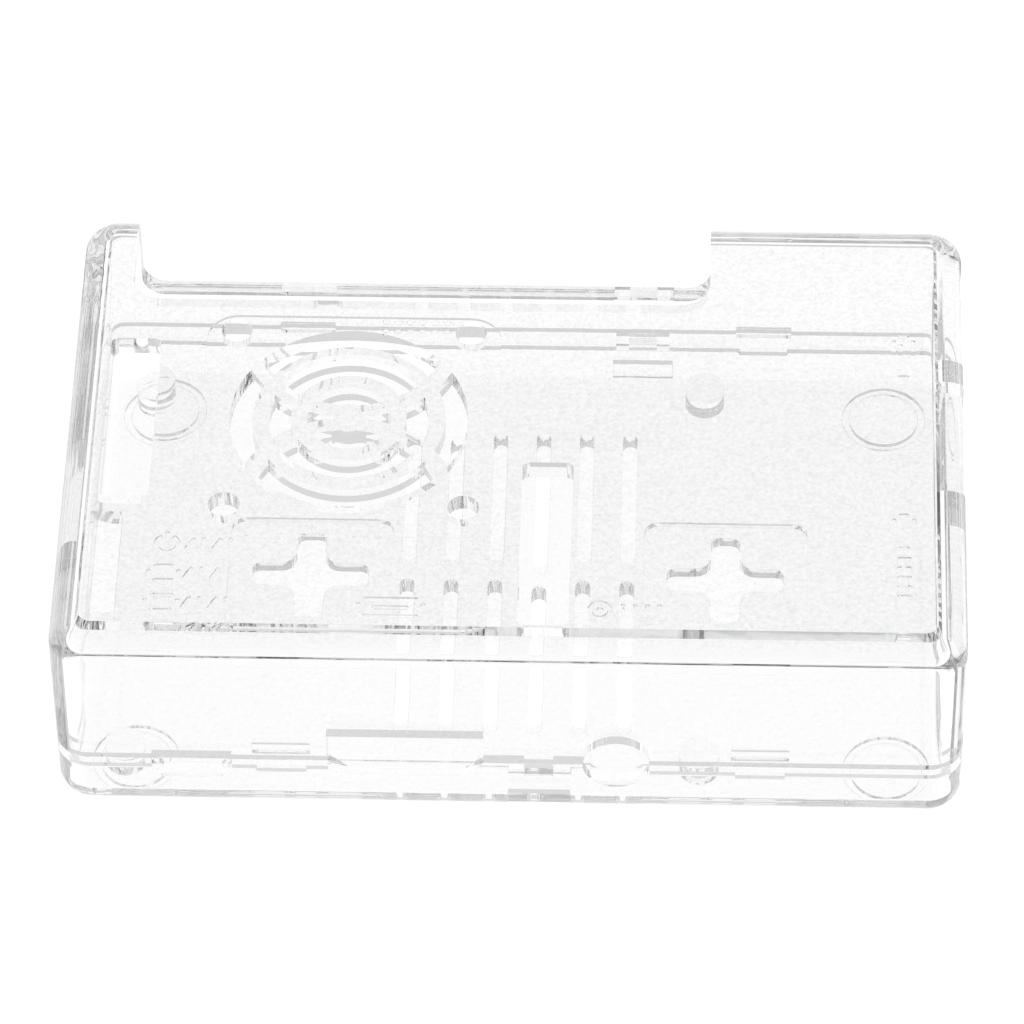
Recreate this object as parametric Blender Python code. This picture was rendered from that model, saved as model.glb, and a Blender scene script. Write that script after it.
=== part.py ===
"""A clear two-piece snap-fit case for a credit-card-sized single-board computer.

The bottom tray takes the board on four posts. The top cover drops onto it with a tongue
all round, lifts straight up, and carries a fan grille, two ribbon slots, a notch over the
pin header and the upper half of each port opening.

Metres, +Z up. +X runs along the long side towards the USB end, -Y is the side with the
power, video and audio ports. The origin is the centre of the case's underside.
"""

import math

import bmesh
import bpy
from mathutils import Vector

MM = 0.001

# Case shell
LENGTH = 91.0 * MM
DEPTH = 60.0 * MM
HEIGHT = 25.5 * MM
PARTING = 8.2 * MM
WALL = 2.0 * MM
PLATE = 2.2 * MM
CORNER_RADIUS = 3.4 * MM
LEAST_CORNER_RADIUS = 1.3 * MM
TOP_FILLET = 2.2 * MM
INNER_TOP_FILLET = 1.35 * MM
BOTTOM_FILLET = 3.3 * MM
INNER_FLOOR_FILLET = 0.3 * MM

# Raised panel that makes up the top: height of its step, the step's slope, and the flat border
PANEL_RISE = 0.95 * MM
PANEL_SLOPE = 0.35 * MM
PANEL_BORDER = 0.45 * MM
GAP = 0.3 * MM
OVERSHOOT = 1.0 * MM
FILLET_STEPS = 5
CORNER_STEPS = 5

# The board that the case is made for
BOARD_DEPTH = 56.0 * MM
BOARD_LEFT = -42.4 * MM
BOARD_TOP = 6.3 * MM
BOARD_THICKNESS = 1.6 * MM
HOLE_INSET = 3.5 * MM
HOLE_PITCH = 58.0 * MM
POST_Y = 24.2 * MM
POST_DIAMETER = 4.1 * MM

# Tongue under the cover, and the ledge in the tray that takes it
LIP = 1.0 * MM
TONGUE_BOTTOM = 6.1 * MM
SNAP_CENTRES = (-22.8 * MM, 25.2 * MM)
SNAP_WIDTH = 5.8 * MM
SNAP_DROP = 0.45 * MM
SNAP_SLANT = 0.5 * MM
SNAP_POCKET_HEIGHT = 1.4 * MM
SNAP_POCKET_DEPTH = 0.5 * MM

# Latch in the middle of each long side: (centre X, side), side -1 is the front
LATCHES = ((3.05 * MM, -1), (12.5 * MM, 1))
LATCH_WIDTH = 2.9 * MM
LATCH_BOTTOM = 6.15 * MM
LATCH_WINDOW = (6.35 * MM, 7.55 * MM)
LATCH_GAP = 5.6 * MM
PRY_WIDTH = 6.3 * MM
PRY_HEIGHT = 3.5 * MM
PRY_DEPTH = 1.2 * MM

# Front ports: centres along X and their outlines
POWER_X = -31.8 * MM
POWER_WIDTH = 8.0 * MM
POWER_BOTTOM = 5.3 * MM
POWER_STRAIGHT = 1.2 * MM
POWER_CHAMFER = 1.1 * MM
VIDEO_X = -10.3 * MM
VIDEO_WIDTH = 15.7 * MM
VIDEO_TOP = 11.9 * MM
VIDEO_BOTTOM = 6.1 * MM
AUDIO_X = 10.8 * MM
AUDIO_Z = 8.1 * MM
AUDIO_DIAMETER = 6.7 * MM

# End ports: board Y from and to, measured from the board's front edge, and the top of each
USB_TOP = 23.2 * MM
NETWORK_TOP = 20.4 * MM
END_PORTS = (
    (2.25 * MM, 18.25 * MM, NETWORK_TOP),
    (21.5 * MM, 36.5 * MM, USB_TOP),
    (39.5 * MM, 54.5 * MM, USB_TOP),
)
END_PORT_BOTTOM = 6.1 * MM

# Memory-card opening in the tray's left edge
CARD_INSET = 4.0 * MM
CARD_WIDTH = 14.0 * MM
CARD_Y = 0.8 * MM
CARD_TOP = 5.5 * MM

# Notch over the pin header: plan cut in the plate, and the U in the back wall
HEADER_LEFT = -40.0 * MM
HEADER_RIGHT = 19.5 * MM
HEADER_FRONT = 17.1 * MM
HEADER_PLAN_RADIUS = 3.2 * MM
HEADER_WALL_Z = 14.7 * MM
HEADER_WALL_RADIUS = 2.5 * MM

# Ribbon slots in the cover: centre X, centre Y
RIBBON_SLOTS = ((-39.05 * MM, 0.55 * MM), (3.5 * MM, -15.85 * MM))
RIBBON_WIDTH = 5.1 * MM
RIBBON_LENGTH = 21.7 * MM
RIBBON_RADIUS = 0.7 * MM

# Fan grille
FAN_X = -16.85 * MM
FAN_Y = 0.75 * MM
FAN_SEAT = 30.2 * MM
FAN_SEAT_RADIUS = 3.2 * MM
FAN_SEAT_DEPTH = 0.3 * MM
FAN_HOLE_PITCH = 24.0 * MM
FAN_HOLE_DIAMETER = 3.2 * MM
GRILLE_BANDS = ((0.0, 4.2 * MM), (5.85 * MM, 8.15 * MM), (9.8 * MM, 12.1 * MM))
GRILLE_HUB_RADIUS = 1.9 * MM
SPOKE_WIDTH = 1.7 * MM
SPOKE_BEND = 10.4 * MM
SPOKE_OFFSET = 0.85 * MM
GRILLE_STEPS = 48

# Tray floor
VENT_WIDTH = 1.5 * MM
VENT_LENGTH = 18.0 * MM
VENT_PITCH = 4.54 * MM
VENTS_PER_ROW = 6
VENT_ROWS = (10.7 * MM, -9.95 * MM)
HANGER_X = 21.5 * MM
HANGER_Y = 0.1 * MM
HANGER_LENGTH = (12.1 * MM, 11.6 * MM)
HANGER_ARM = 3.0 * MM
HANGER_INNER_RADIUS = 1.6 * MM
HANGER_END_RADIUS = 0.9 * MM
HANGER_POCKET = (16.9 * MM, 18.6 * MM)
HANGER_POCKET_Y = -1.95 * MM
HANGER_POCKET_RADIUS = 1.5 * MM
HANGER_POCKET_DEPTH = 0.7 * MM
FOOT_X = 38.0 * MM
FOOT_Y = 23.2 * MM
FOOT_RING = (3.6 * MM, 4.4 * MM)
FOOT_RING_DEPTH = 0.5 * MM

RIM = PARTING - GAP / 2
COVER_EDGE = PARTING + GAP / 2
TONGUE_INSET = LIP + GAP
BACK = DEPTH / 2
RIGHT = LENGTH / 2


def clear_scene():
    """Start from an empty scene."""
    for old in list(bpy.data.objects):
        bpy.data.objects.remove(old, do_unlink=True)


def clear_plastic(name, tint):
    """Water-clear moulded plastic."""
    material = bpy.data.materials.new(name)
    material.use_nodes = True
    shader = material.node_tree.nodes["Principled BSDF"]
    shader.inputs["Base Color"].default_value = (*tint, 1.0)
    shader.inputs["Metallic"].default_value = 0.0
    shader.inputs["Roughness"].default_value = 0.08
    shader.inputs["IOR"].default_value = 1.5
    shader.inputs["Transmission Weight"].default_value = 0.95
    return material


def arc(centre, radius, start, end, steps):
    """Points along an arc in a plane, with angles in degrees."""
    angles = [math.radians(start + (end - start) * step / steps) for step in range(steps + 1)]
    return [(centre[0] + radius * math.cos(a), centre[1] + radius * math.sin(a)) for a in angles]


def rounded_rectangle(width, height, radius, steps=CORNER_STEPS):
    """Outline of a rectangle about (0, 0), counter-clockwise, with round corners."""
    outline = []
    for turn, (side_x, side_y) in enumerate(((1, 1), (-1, 1), (-1, -1), (1, -1))):
        centre = (side_x * (width / 2 - radius), side_y * (height / 2 - radius))
        outline += arc(centre, radius, 90 * turn, 90 * turn + 90, steps)
    return outline


def new_object(name, bm, origin=(0, 0, 0)):
    """Turn a bmesh into a named object whose origin is at the given point."""
    bmesh.ops.recalc_face_normals(bm, faces=bm.faces)
    bmesh.ops.translate(bm, verts=bm.verts, vec=-Vector(origin))
    mesh = bpy.data.meshes.new(name)
    bm.to_mesh(mesh)
    bm.free()
    made = bpy.data.objects.new(name, mesh)
    made.location = origin
    bpy.context.scene.collection.objects.link(made)
    return made


def loft(name, rings, origin=(0, 0, 0)):
    """Closed solid through rings of equally many 3-D points, with flat ends."""
    bm = bmesh.new()
    loops = [[bm.verts.new(point) for point in ring] for ring in rings]
    count = len(loops[0])
    for lower, upper in zip(loops, loops[1:]):
        for index in range(count):
            following = (index + 1) % count
            bm.faces.new((lower[index], lower[following], upper[following], upper[index]))
    bm.faces.new(reversed(loops[0]))
    bm.faces.new(loops[-1])
    return new_object(name, bm, origin)


def prism(name, outline, low, high, axis="Z", centre=(0, 0)):
    """Solid from a flat outline, drawn across one axis and stretched along it."""
    def place(point, level):
        across, up = point[0] + centre[0], point[1] + centre[1]
        return {"Z": (across, up, level), "Y": (across, level, up), "X": (level, across, up)}[axis]

    rings = [[place(point, level) for point in outline] for level in (low, high)]
    return loft(name, rings)


def box(name, low, high):
    """Solid box between two corners."""
    outline = [(low[0], low[1]), (high[0], low[1]), (high[0], high[1]), (low[0], high[1])]
    return prism(name, outline, low[2], high[2])


def shell_solid(name, levels, origin=(0, 0, 0)):
    """Case-shaped solid: at each (height, inset) a round-cornered rectangle smaller by the inset."""
    rings = []
    for height, inset in levels:
        radius = max(CORNER_RADIUS - inset, LEAST_CORNER_RADIUS)
        outline = rounded_rectangle(LENGTH - 2 * inset, DEPTH - 2 * inset, radius)
        rings.append([(x, y, height) for x, y in outline])
    return loft(name, rings, origin)


def fillet_levels(height, inset, radius, upwards):
    """(height, inset) pairs of a quarter-round that ends flat at the given height."""
    sign = -1 if upwards else 1
    turns = [math.radians(90 * step / FILLET_STEPS) for step in range(FILLET_STEPS + 1)]
    levels = [(height + sign * radius * (1 - math.sin(t)), inset + radius * (1 - math.cos(t))) for t in turns]
    return levels if upwards else levels[::-1]


def cutters(name, objects):
    """Gather helper solids in a hidden collection, ready for one Boolean."""
    group = bpy.data.collections.new(name)
    bpy.context.scene.collection.children.link(group)
    group.hide_render = True
    for helper in objects:
        bpy.context.scene.collection.objects.unlink(helper)
        group.objects.link(helper)
        helper.hide_render = True
        helper.display_type = "WIRE"
    return group


def boolean(target, operation, group):
    """Union, difference or intersection of an object with a collection of helpers."""
    modifier = target.modifiers.new(group.name, "BOOLEAN")
    modifier.operation = operation
    modifier.solver = "EXACT"
    modifier.operand_type = "COLLECTION"
    modifier.collection = group


def finish(made, material):
    """Give a finished piece its material and smooth its round faces."""
    made.data.materials.append(material)
    made.data.shade_smooth()
    made.data.set_sharp_from_angle(angle=math.radians(30))


def board_y(distance):
    """World Y of a distance from the board's front edge."""
    return distance - BOARD_DEPTH / 2


def video_port(name, low, high):
    """Port opening with its two lower corners cut off."""
    half = VIDEO_WIDTH / 2
    cut = PARTING - VIDEO_BOTTOM
    outline = [(-half, PARTING), (cut - half, VIDEO_BOTTOM), (half - cut, VIDEO_BOTTOM), (half, PARTING)]
    outline += [(half, VIDEO_TOP), (-half, VIDEO_TOP)]
    return prism(name, outline, low, high, "Y", (VIDEO_X, 0))


def power_port(name, low, high):
    """Shallow port opening in the tray's rim, narrower at its foot."""
    half = POWER_WIDTH / 2
    shoulder = RIM - POWER_STRAIGHT
    top = RIM + OVERSHOOT
    outline = [(-half, top), (-half, shoulder), (POWER_CHAMFER - half, POWER_BOTTOM)]
    outline += [(half - POWER_CHAMFER, POWER_BOTTOM), (half, shoulder), (half, top)]
    return prism(name, outline, low, high, "Y", (POWER_X, 0))


def audio_port(name, low, high):
    """Round port opening."""
    outline = arc((0, 0), AUDIO_DIAMETER / 2, 0, 360, 32)[:-1]
    return prism(name, outline, low, high, "Y", (AUDIO_X, AUDIO_Z))


def end_ports(name, bottom):
    """Openings in the right wall for the network and USB sockets."""
    made = []
    for number, (start, end, top) in enumerate(END_PORTS):
        low = (RIGHT - WALL - OVERSHOOT, board_y(start), bottom)
        high = (RIGHT + OVERSHOOT, board_y(end), top)
        made.append(box(f"{name}_{number}", low, high))
    return made


def snap_tabs(name, top, grow):
    """Trapezoids that hang below the tongue at the snaps, on both long sides."""
    made = []
    for centre_x in SNAP_CENTRES:
        half = SNAP_WIDTH / 2 + grow
        bottom = TONGUE_BOTTOM - SNAP_DROP - grow
        outline = [(-half, top), (SNAP_SLANT - half, bottom), (half - SNAP_SLANT, bottom), (half, top)]
        for side in (-1, 1):
            faces = sorted((side * (BACK - TONGUE_INSET + grow), side * (BACK - WALL - OVERSHOOT)))
            made.append(prism(f"{name}_{len(made)}", outline, *faces, "Y", (centre_x, 0)))
    return made


def latch_boxes(name, width, faces, low, high):
    """Boxes at the latch in each long side, between two distances from the outer face."""
    made = []
    for centre_x, side in LATCHES:
        near, far = sorted(side * (BACK - distance) for distance in faces)
        start = (centre_x - width / 2, near, low)
        end = (centre_x + width / 2, far, high)
        made.append(box(f"{name}_{len(made)}", start, end))
    return made


def tongue():
    """The tongue under the cover, open at the ports and latches, with its snaps."""
    bottom, top = TONGUE_BOTTOM, COVER_EDGE + OVERSHOOT
    ring = shell_solid("tongue_ring", [(bottom, TONGUE_INSET), (top, TONGUE_INSET)])
    below, above = bottom - OVERSHOOT, COVER_EDGE - GAP
    front, inside = -BACK, -BACK + WALL + OVERSHOOT
    gaps = [
        box("gap_power", (POWER_X - POWER_WIDTH / 2, front, below), (POWER_X + POWER_WIDTH / 2, inside, top)),
        box(
            "gap_video_audio",
            (VIDEO_X - VIDEO_WIDTH / 2, front, below),
            (AUDIO_X + AUDIO_DIAMETER / 2, inside, top),
        ),
    ]
    gaps += latch_boxes("gap_latch", LATCH_GAP, (0.0, WALL + OVERSHOOT), below, top)
    boolean(ring, "DIFFERENCE", cutters("tongue_gaps", gaps))
    tabs = snap_tabs("snap", above, 0.0)
    hooks = latch_boxes("latch", LATCH_WIDTH, (TONGUE_INSET, WALL + OVERSHOOT), LATCH_BOTTOM, top)
    return [ring] + tabs + hooks


def header_notch():
    """Cuts for the pin header: one down through the plate, one back through the wall."""
    width = HEADER_RIGHT - HEADER_LEFT
    centre_x = (HEADER_RIGHT + HEADER_LEFT) / 2
    reach = BACK + OVERSHOOT + HEADER_PLAN_RADIUS
    plan = rounded_rectangle(width, reach - HEADER_FRONT, HEADER_PLAN_RADIUS)
    plan_centre = (centre_x, (reach + HEADER_FRONT) / 2)
    plate_low = HEIGHT - PLATE - INNER_TOP_FILLET - OVERSHOOT
    plate_cut = prism("header_plate", plan, plate_low, HEIGHT + OVERSHOOT, "Z", plan_centre)
    rise = HEIGHT + OVERSHOOT + HEADER_WALL_RADIUS
    face = rounded_rectangle(width, rise - HEADER_WALL_Z, HEADER_WALL_RADIUS)
    face_centre = (centre_x, (rise + HEADER_WALL_Z) / 2)
    near = BACK - WALL - OVERSHOOT
    wall_cut = prism("header_wall", face, near, BACK + OVERSHOOT, "Y", face_centre)
    return [plate_cut, wall_cut]


def ribbon_slots():
    """Two long slots in the plate for flat cables."""
    outline = rounded_rectangle(RIBBON_WIDTH, RIBBON_LENGTH, RIBBON_RADIUS)
    low, high = HEIGHT - PLATE - OVERSHOOT, HEIGHT + OVERSHOOT
    return [prism(f"ribbon_{n}", outline, low, high, "Z", centre) for n, centre in enumerate(RIBBON_SLOTS)]


def ring_outline(radius, steps=GRILLE_STEPS):
    """Circle outline about (0, 0)."""
    return arc((0, 0), radius, 0, 360, steps)[:-1]


def spokes(low, high):
    """Two curved bars that bow towards each other and meet at the hub."""
    made = []
    sweep = 75
    for side in (1, -1):
        centre = (FAN_X, FAN_Y + side * (SPOKE_OFFSET + SPOKE_BEND))
        middle = -90 * side
        outer = arc(centre, SPOKE_BEND + SPOKE_WIDTH / 2, middle - sweep, middle + sweep, GRILLE_STEPS // 2)
        inner = arc(centre, SPOKE_BEND - SPOKE_WIDTH / 2, middle + sweep, middle - sweep, GRILLE_STEPS // 2)
        made.append(prism(f"spoke_{len(made)}", outer + inner, low, high))
    return made


def fan_openings():
    """Grille openings, screw holes and the shallow seat under the plate."""
    low, high = HEIGHT - PLATE - OVERSHOOT, HEIGHT + OVERSHOOT
    fan = (FAN_X, FAN_Y)
    bars = spokes(low - OVERSHOOT, high + OVERSHOOT)
    bars.append(prism("hub", ring_outline(GRILLE_HUB_RADIUS), low - OVERSHOOT, high + OVERSHOOT, "Z", fan))
    bar_group = cutters("grille_bars", bars)
    made = []
    for number, (inner, outer) in enumerate(GRILLE_BANDS):
        opening = prism(f"grille_band_{number}", ring_outline(outer), low, high, "Z", fan)
        if inner:
            core = prism(f"grille_core_{number}", ring_outline(inner), low - GAP, high + GAP, "Z", fan)
            boolean(opening, "DIFFERENCE", cutters(f"grille_core_of_{number}", [core]))
        boolean(opening, "DIFFERENCE", bar_group)
        made.append(opening)
    for side_x in (-1, 1):
        for side_y in (-1, 1):
            centre = (FAN_X + side_x * FAN_HOLE_PITCH / 2, FAN_Y + side_y * FAN_HOLE_PITCH / 2)
            outline = ring_outline(FAN_HOLE_DIAMETER / 2, 20)
            made.append(prism(f"fan_hole_{len(made)}", outline, low, high, "Z", centre))
    seat = rounded_rectangle(FAN_SEAT, FAN_SEAT, FAN_SEAT_RADIUS)
    seat_top = HEIGHT - PLATE + FAN_SEAT_DEPTH
    made.append(prism("fan_seat", seat, low - OVERSHOOT, seat_top, "Z", fan))
    return made


def snap_pockets():
    """Shallow pockets inside the cover's wall, just above each snap."""
    made = []
    top = COVER_EDGE + SNAP_POCKET_HEIGHT
    for centre_x in SNAP_CENTRES:
        for side in (-1, 1):
            inner = side * (BACK - WALL - OVERSHOOT)
            outer = side * (BACK - WALL + SNAP_POCKET_DEPTH)
            low = (centre_x - SNAP_WIDTH / 2, min(inner, outer), COVER_EDGE)
            high = (centre_x + SNAP_WIDTH / 2, max(inner, outer), top)
            made.append(box(f"snap_pocket_{len(made)}", low, high))
    return made


def top_cover(material):
    """The cover, whose origin is on its sliding axis in the parting plane."""
    levels = [(COVER_EDGE, 0.0)] + fillet_levels(HEIGHT - PANEL_RISE, 0.0, TOP_FILLET, upwards=True)
    border = TOP_FILLET + PANEL_BORDER
    levels += [(HEIGHT - PANEL_RISE, border), (HEIGHT, border + PANEL_SLOPE)]
    cover = shell_solid("top_cover", levels, origin=(0, 0, PARTING))
    boolean(cover, "UNION", cutters("tongue_parts", tongue()))
    ceiling = fillet_levels(HEIGHT - PLATE, WALL, INNER_TOP_FILLET, upwards=True)
    hollow = shell_solid("cover_hollow", [(TONGUE_BOTTOM - OVERSHOOT, WALL)] + ceiling)
    boolean(cover, "DIFFERENCE", cutters("cover_inside", [hollow]))
    near, far = -BACK - OVERSHOOT, -BACK + WALL + OVERSHOOT
    openings = [video_port("cover_video", near, far), audio_port("cover_audio", near, far)]
    openings += end_ports("cover_end_port", TONGUE_BOTTOM - OVERSHOOT)
    openings += header_notch() + ribbon_slots() + fan_openings() + snap_pockets()
    boolean(cover, "DIFFERENCE", cutters("cover_openings", openings))
    finish(cover, material)


def posts():
    """Four posts under the board's corner holes."""
    made = []
    outline = ring_outline(POST_DIAMETER / 2, 24)
    for along in (HOLE_INSET, HOLE_INSET + HOLE_PITCH):
        for side in (-1, 1):
            centre = (BOARD_LEFT + along, side * POST_Y)
            top = BOARD_TOP - BOARD_THICKNESS
            made.append(prism(f"post_{len(made)}", outline, WALL / 2, top, "Z", centre))
    return made


def slot_outline(width, length):
    """Straight slot with round ends, long in Y."""
    return rounded_rectangle(width, length, width / 2 - 0.01 * MM, 4)


def vents():
    """Two rows of long slots in the floor."""
    made = []
    outline = slot_outline(VENT_WIDTH, VENT_LENGTH)
    for row_y in VENT_ROWS:
        for index in range(VENTS_PER_ROW):
            centre = ((index - (VENTS_PER_ROW - 1) / 2) * VENT_PITCH, row_y)
            made.append(prism(f"vent_{len(made)}", outline, -OVERSHOOT, WALL + OVERSHOOT, "Z", centre))
    return made


def cross_outline():
    """Plus-shaped outline with round ends and round inner corners."""
    outline = []
    half_arm = HANGER_ARM / 2
    for turn in range(4):
        reach = HANGER_LENGTH[turn % 2] / 2
        angle = math.radians(90 * turn)
        end = HANGER_END_RADIUS
        inner = half_arm + HANGER_INNER_RADIUS
        points = arc((reach - end, -half_arm + end), end, -90, 0, 3)
        points += arc((reach - end, half_arm - end), end, 0, 90, 3)
        points += arc((inner, inner), HANGER_INNER_RADIUS, 270, 180, 4)
        for x, y in points:
            outline.append((x * math.cos(angle) - y * math.sin(angle), x * math.sin(angle) + y * math.cos(angle)))
    return outline


def hangers():
    """Cross-shaped wall-hanging holes, each in a shallow pocket in the floor."""
    made = []
    pocket = rounded_rectangle(*HANGER_POCKET, HANGER_POCKET_RADIUS)
    cross = cross_outline()
    for side in (-1, 1):
        centre = (side * HANGER_X, HANGER_Y)
        made.append(prism(f"hanger_cross_{side + 1}", cross, -OVERSHOOT, WALL + OVERSHOOT, "Z", centre))
        pocket_low = WALL - HANGER_POCKET_DEPTH
        middle = (side * HANGER_X, HANGER_POCKET_Y)
        made.append(prism(f"hanger_pocket_{side + 1}", pocket, pocket_low, WALL + OVERSHOOT, "Z", middle))
    return made


def foot_rings():
    """Shallow ring grooves under the floor that locate stick-on feet."""
    made = []
    for side_x in (-1, 1):
        for side_y in (-1, 1):
            centre = (side_x * FOOT_X, side_y * FOOT_Y)
            name = f"foot_ring_{len(made)}"
            groove = prism(name, ring_outline(FOOT_RING[1], 32), -OVERSHOOT, FOOT_RING_DEPTH, "Z", centre)
            core = prism(f"{name}_core", ring_outline(FOOT_RING[0], 32), -2 * OVERSHOOT, WALL, "Z", centre)
            boolean(groove, "DIFFERENCE", cutters(f"{name}_inside", [core]))
            made.append(groove)
    return made


def card_opening():
    """Finger notch through the tray's left wall and floor at the memory card."""
    low = (-RIGHT - OVERSHOOT, CARD_Y - CARD_WIDTH / 2, -OVERSHOOT)
    high = (-RIGHT + CARD_INSET, CARD_Y + CARD_WIDTH / 2, CARD_TOP)
    return box("card_opening", low, high)


def bottom_tray(material):
    """The tray that stands on the table."""
    levels = fillet_levels(0.0, 0.0, BOTTOM_FILLET, upwards=False) + [(RIM, 0.0)]
    tray = shell_solid("bottom_tray", levels)
    floor = fillet_levels(WALL, WALL, INNER_FLOOR_FILLET, upwards=False)
    hollow = shell_solid("tray_hollow", floor + [(PARTING + OVERSHOOT, WALL)])
    ledge_z = TONGUE_BOTTOM - GAP
    ledge = shell_solid("tray_ledge", [(ledge_z, LIP), (PARTING + 2 * OVERSHOOT, LIP)])
    boolean(tray, "DIFFERENCE", cutters("tray_inside", [hollow, ledge]))
    boolean(tray, "UNION", cutters("tray_posts", posts()))
    near, far = -BACK - OVERSHOOT, -BACK + WALL + OVERSHOOT
    openings = [
        video_port("tray_video", near, far),
        audio_port("tray_audio", near, far),
        power_port("tray_power", near, far),
        card_opening(),
    ]
    openings += end_ports("tray_end_port", END_PORT_BOTTOM)
    openings += vents() + hangers() + foot_rings()
    openings += snap_tabs("snap_room", ledge_z + OVERSHOOT, GAP)
    openings += latch_boxes("latch_window", LATCH_WIDTH, (-OVERSHOOT, LIP + OVERSHOOT), *LATCH_WINDOW)
    openings += latch_boxes("pry_notch", PRY_WIDTH, (-OVERSHOOT, PRY_DEPTH), -OVERSHOOT, PRY_HEIGHT)
    boolean(tray, "DIFFERENCE", cutters("tray_openings", openings))
    finish(tray, material)


def main():
    """Build both halves of the case."""
    clear_scene()
    top_cover(clear_plastic("clear_plastic_cover", (0.97, 0.98, 0.98)))
    bottom_tray(clear_plastic("clear_plastic_tray", (0.97, 0.98, 0.98)))


main()
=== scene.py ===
"""Looks of the clear single-board computer case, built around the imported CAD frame.

Both halves are rebuilt here with fine fillets, rounded edges and engraved port marks, and
stand for the two CAD nodes. Metres, +Z up, the same frame as the CAD.
"""

import math

import bmesh
import bpy
from mathutils import Matrix, Vector

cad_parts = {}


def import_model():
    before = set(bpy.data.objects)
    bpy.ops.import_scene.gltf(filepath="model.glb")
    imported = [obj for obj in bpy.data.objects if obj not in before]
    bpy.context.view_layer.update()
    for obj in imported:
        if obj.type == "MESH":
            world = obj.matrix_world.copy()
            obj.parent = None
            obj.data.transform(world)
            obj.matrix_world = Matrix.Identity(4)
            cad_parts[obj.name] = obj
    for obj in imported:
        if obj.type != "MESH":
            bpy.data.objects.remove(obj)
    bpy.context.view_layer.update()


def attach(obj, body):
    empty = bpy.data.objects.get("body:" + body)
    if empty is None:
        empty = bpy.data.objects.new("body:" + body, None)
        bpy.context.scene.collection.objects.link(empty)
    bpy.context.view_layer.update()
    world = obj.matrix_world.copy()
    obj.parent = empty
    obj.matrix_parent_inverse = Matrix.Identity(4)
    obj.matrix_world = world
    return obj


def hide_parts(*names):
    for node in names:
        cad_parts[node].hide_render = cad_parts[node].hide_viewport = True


MM = 0.001

# Case shell
LENGTH = 91.0 * MM
DEPTH = 60.0 * MM
HEIGHT = 25.5 * MM
PARTING = 8.2 * MM
WALL = 2.0 * MM
PLATE = 2.2 * MM
CORNER_RADIUS = 3.4 * MM
LEAST_CORNER_RADIUS = 1.3 * MM
TOP_FILLET = 2.2 * MM
INNER_TOP_FILLET = 1.35 * MM
BOTTOM_FILLET = 3.3 * MM
INNER_FLOOR_FILLET = 0.3 * MM

# Raised panel that makes up the top: height of its step, the step's slope, and the flat border
PANEL_RISE = 0.95 * MM
PANEL_SLOPE = 0.35 * MM
PANEL_BORDER = 0.45 * MM

# Gap between the halves, and how far cutting solids reach past what they cut
GAP = 0.08 * MM
OVERSHOOT = 1.0 * MM
FILLET_STEPS = 12
CORNER_STEPS = 10
ROUND_STEPS = 32

# The board that the case is made for
BOARD_DEPTH = 56.0 * MM
BOARD_LEFT = -42.4 * MM
BOARD_TOP = 6.3 * MM
BOARD_THICKNESS = 1.6 * MM
HOLE_INSET = 3.5 * MM
HOLE_PITCH = 58.0 * MM
POST_Y = 24.2 * MM
POST_DIAMETER = 4.1 * MM

# Tongue under the cover, and the ledge in the tray that takes it
LIP = 1.0 * MM
TONGUE_BOTTOM = 6.1 * MM
SNAP_CENTRES = (-22.8 * MM, 25.2 * MM)
SNAP_WIDTH = 5.8 * MM
SNAP_DROP = 0.45 * MM
SNAP_SLANT = 0.5 * MM
SNAP_POCKET_HEIGHT = 1.4 * MM
SNAP_POCKET_DEPTH = 0.5 * MM

# Latch in the middle of each long side: (centre X, side), side -1 is the front
LATCHES = ((3.05 * MM, -1), (12.5 * MM, 1))
LATCH_WIDTH = 2.9 * MM
LATCH_BOTTOM = 6.15 * MM
LATCH_WINDOW = (6.35 * MM, 7.55 * MM)
LATCH_GAP = 5.6 * MM
PRY_WIDTH = 6.3 * MM
PRY_HEIGHT = 3.5 * MM
PRY_DEPTH = 1.2 * MM

# Front ports: centres along X and their outlines
POWER_X = -31.8 * MM
POWER_WIDTH = 8.0 * MM
POWER_BOTTOM = 5.3 * MM
POWER_STRAIGHT = 1.2 * MM
POWER_CHAMFER = 1.1 * MM
VIDEO_X = -10.3 * MM
VIDEO_WIDTH = 15.7 * MM
VIDEO_TOP = 11.9 * MM
VIDEO_BOTTOM = 6.1 * MM
AUDIO_X = 10.8 * MM
AUDIO_Z = 8.1 * MM
AUDIO_DIAMETER = 6.7 * MM

# End ports: board Y from and to, measured from the board's front edge, and the top of each
USB_TOP = 23.2 * MM
NETWORK_TOP = 20.4 * MM
END_PORTS = (
    (2.25 * MM, 18.25 * MM, NETWORK_TOP),
    (21.5 * MM, 36.5 * MM, USB_TOP),
    (39.5 * MM, 54.5 * MM, USB_TOP),
)
END_PORT_BOTTOM = 6.1 * MM

# Memory-card opening in the tray's left edge
CARD_INSET = 4.0 * MM
CARD_WIDTH = 14.0 * MM
CARD_Y = 0.8 * MM
CARD_TOP = 5.5 * MM

# Notch over the pin header: plan cut in the plate, and the U in the back wall
HEADER_LEFT = -40.0 * MM
HEADER_RIGHT = 19.5 * MM
HEADER_FRONT = 17.1 * MM
HEADER_PLAN_RADIUS = 3.2 * MM
HEADER_WALL_Z = 14.7 * MM
HEADER_WALL_RADIUS = 2.5 * MM

# Ribbon slots in the cover: centre X, centre Y
RIBBON_SLOTS = ((-39.05 * MM, 0.55 * MM), (3.5 * MM, -15.85 * MM))
RIBBON_WIDTH = 5.1 * MM
RIBBON_LENGTH = 21.7 * MM
RIBBON_RADIUS = 0.7 * MM

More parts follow.
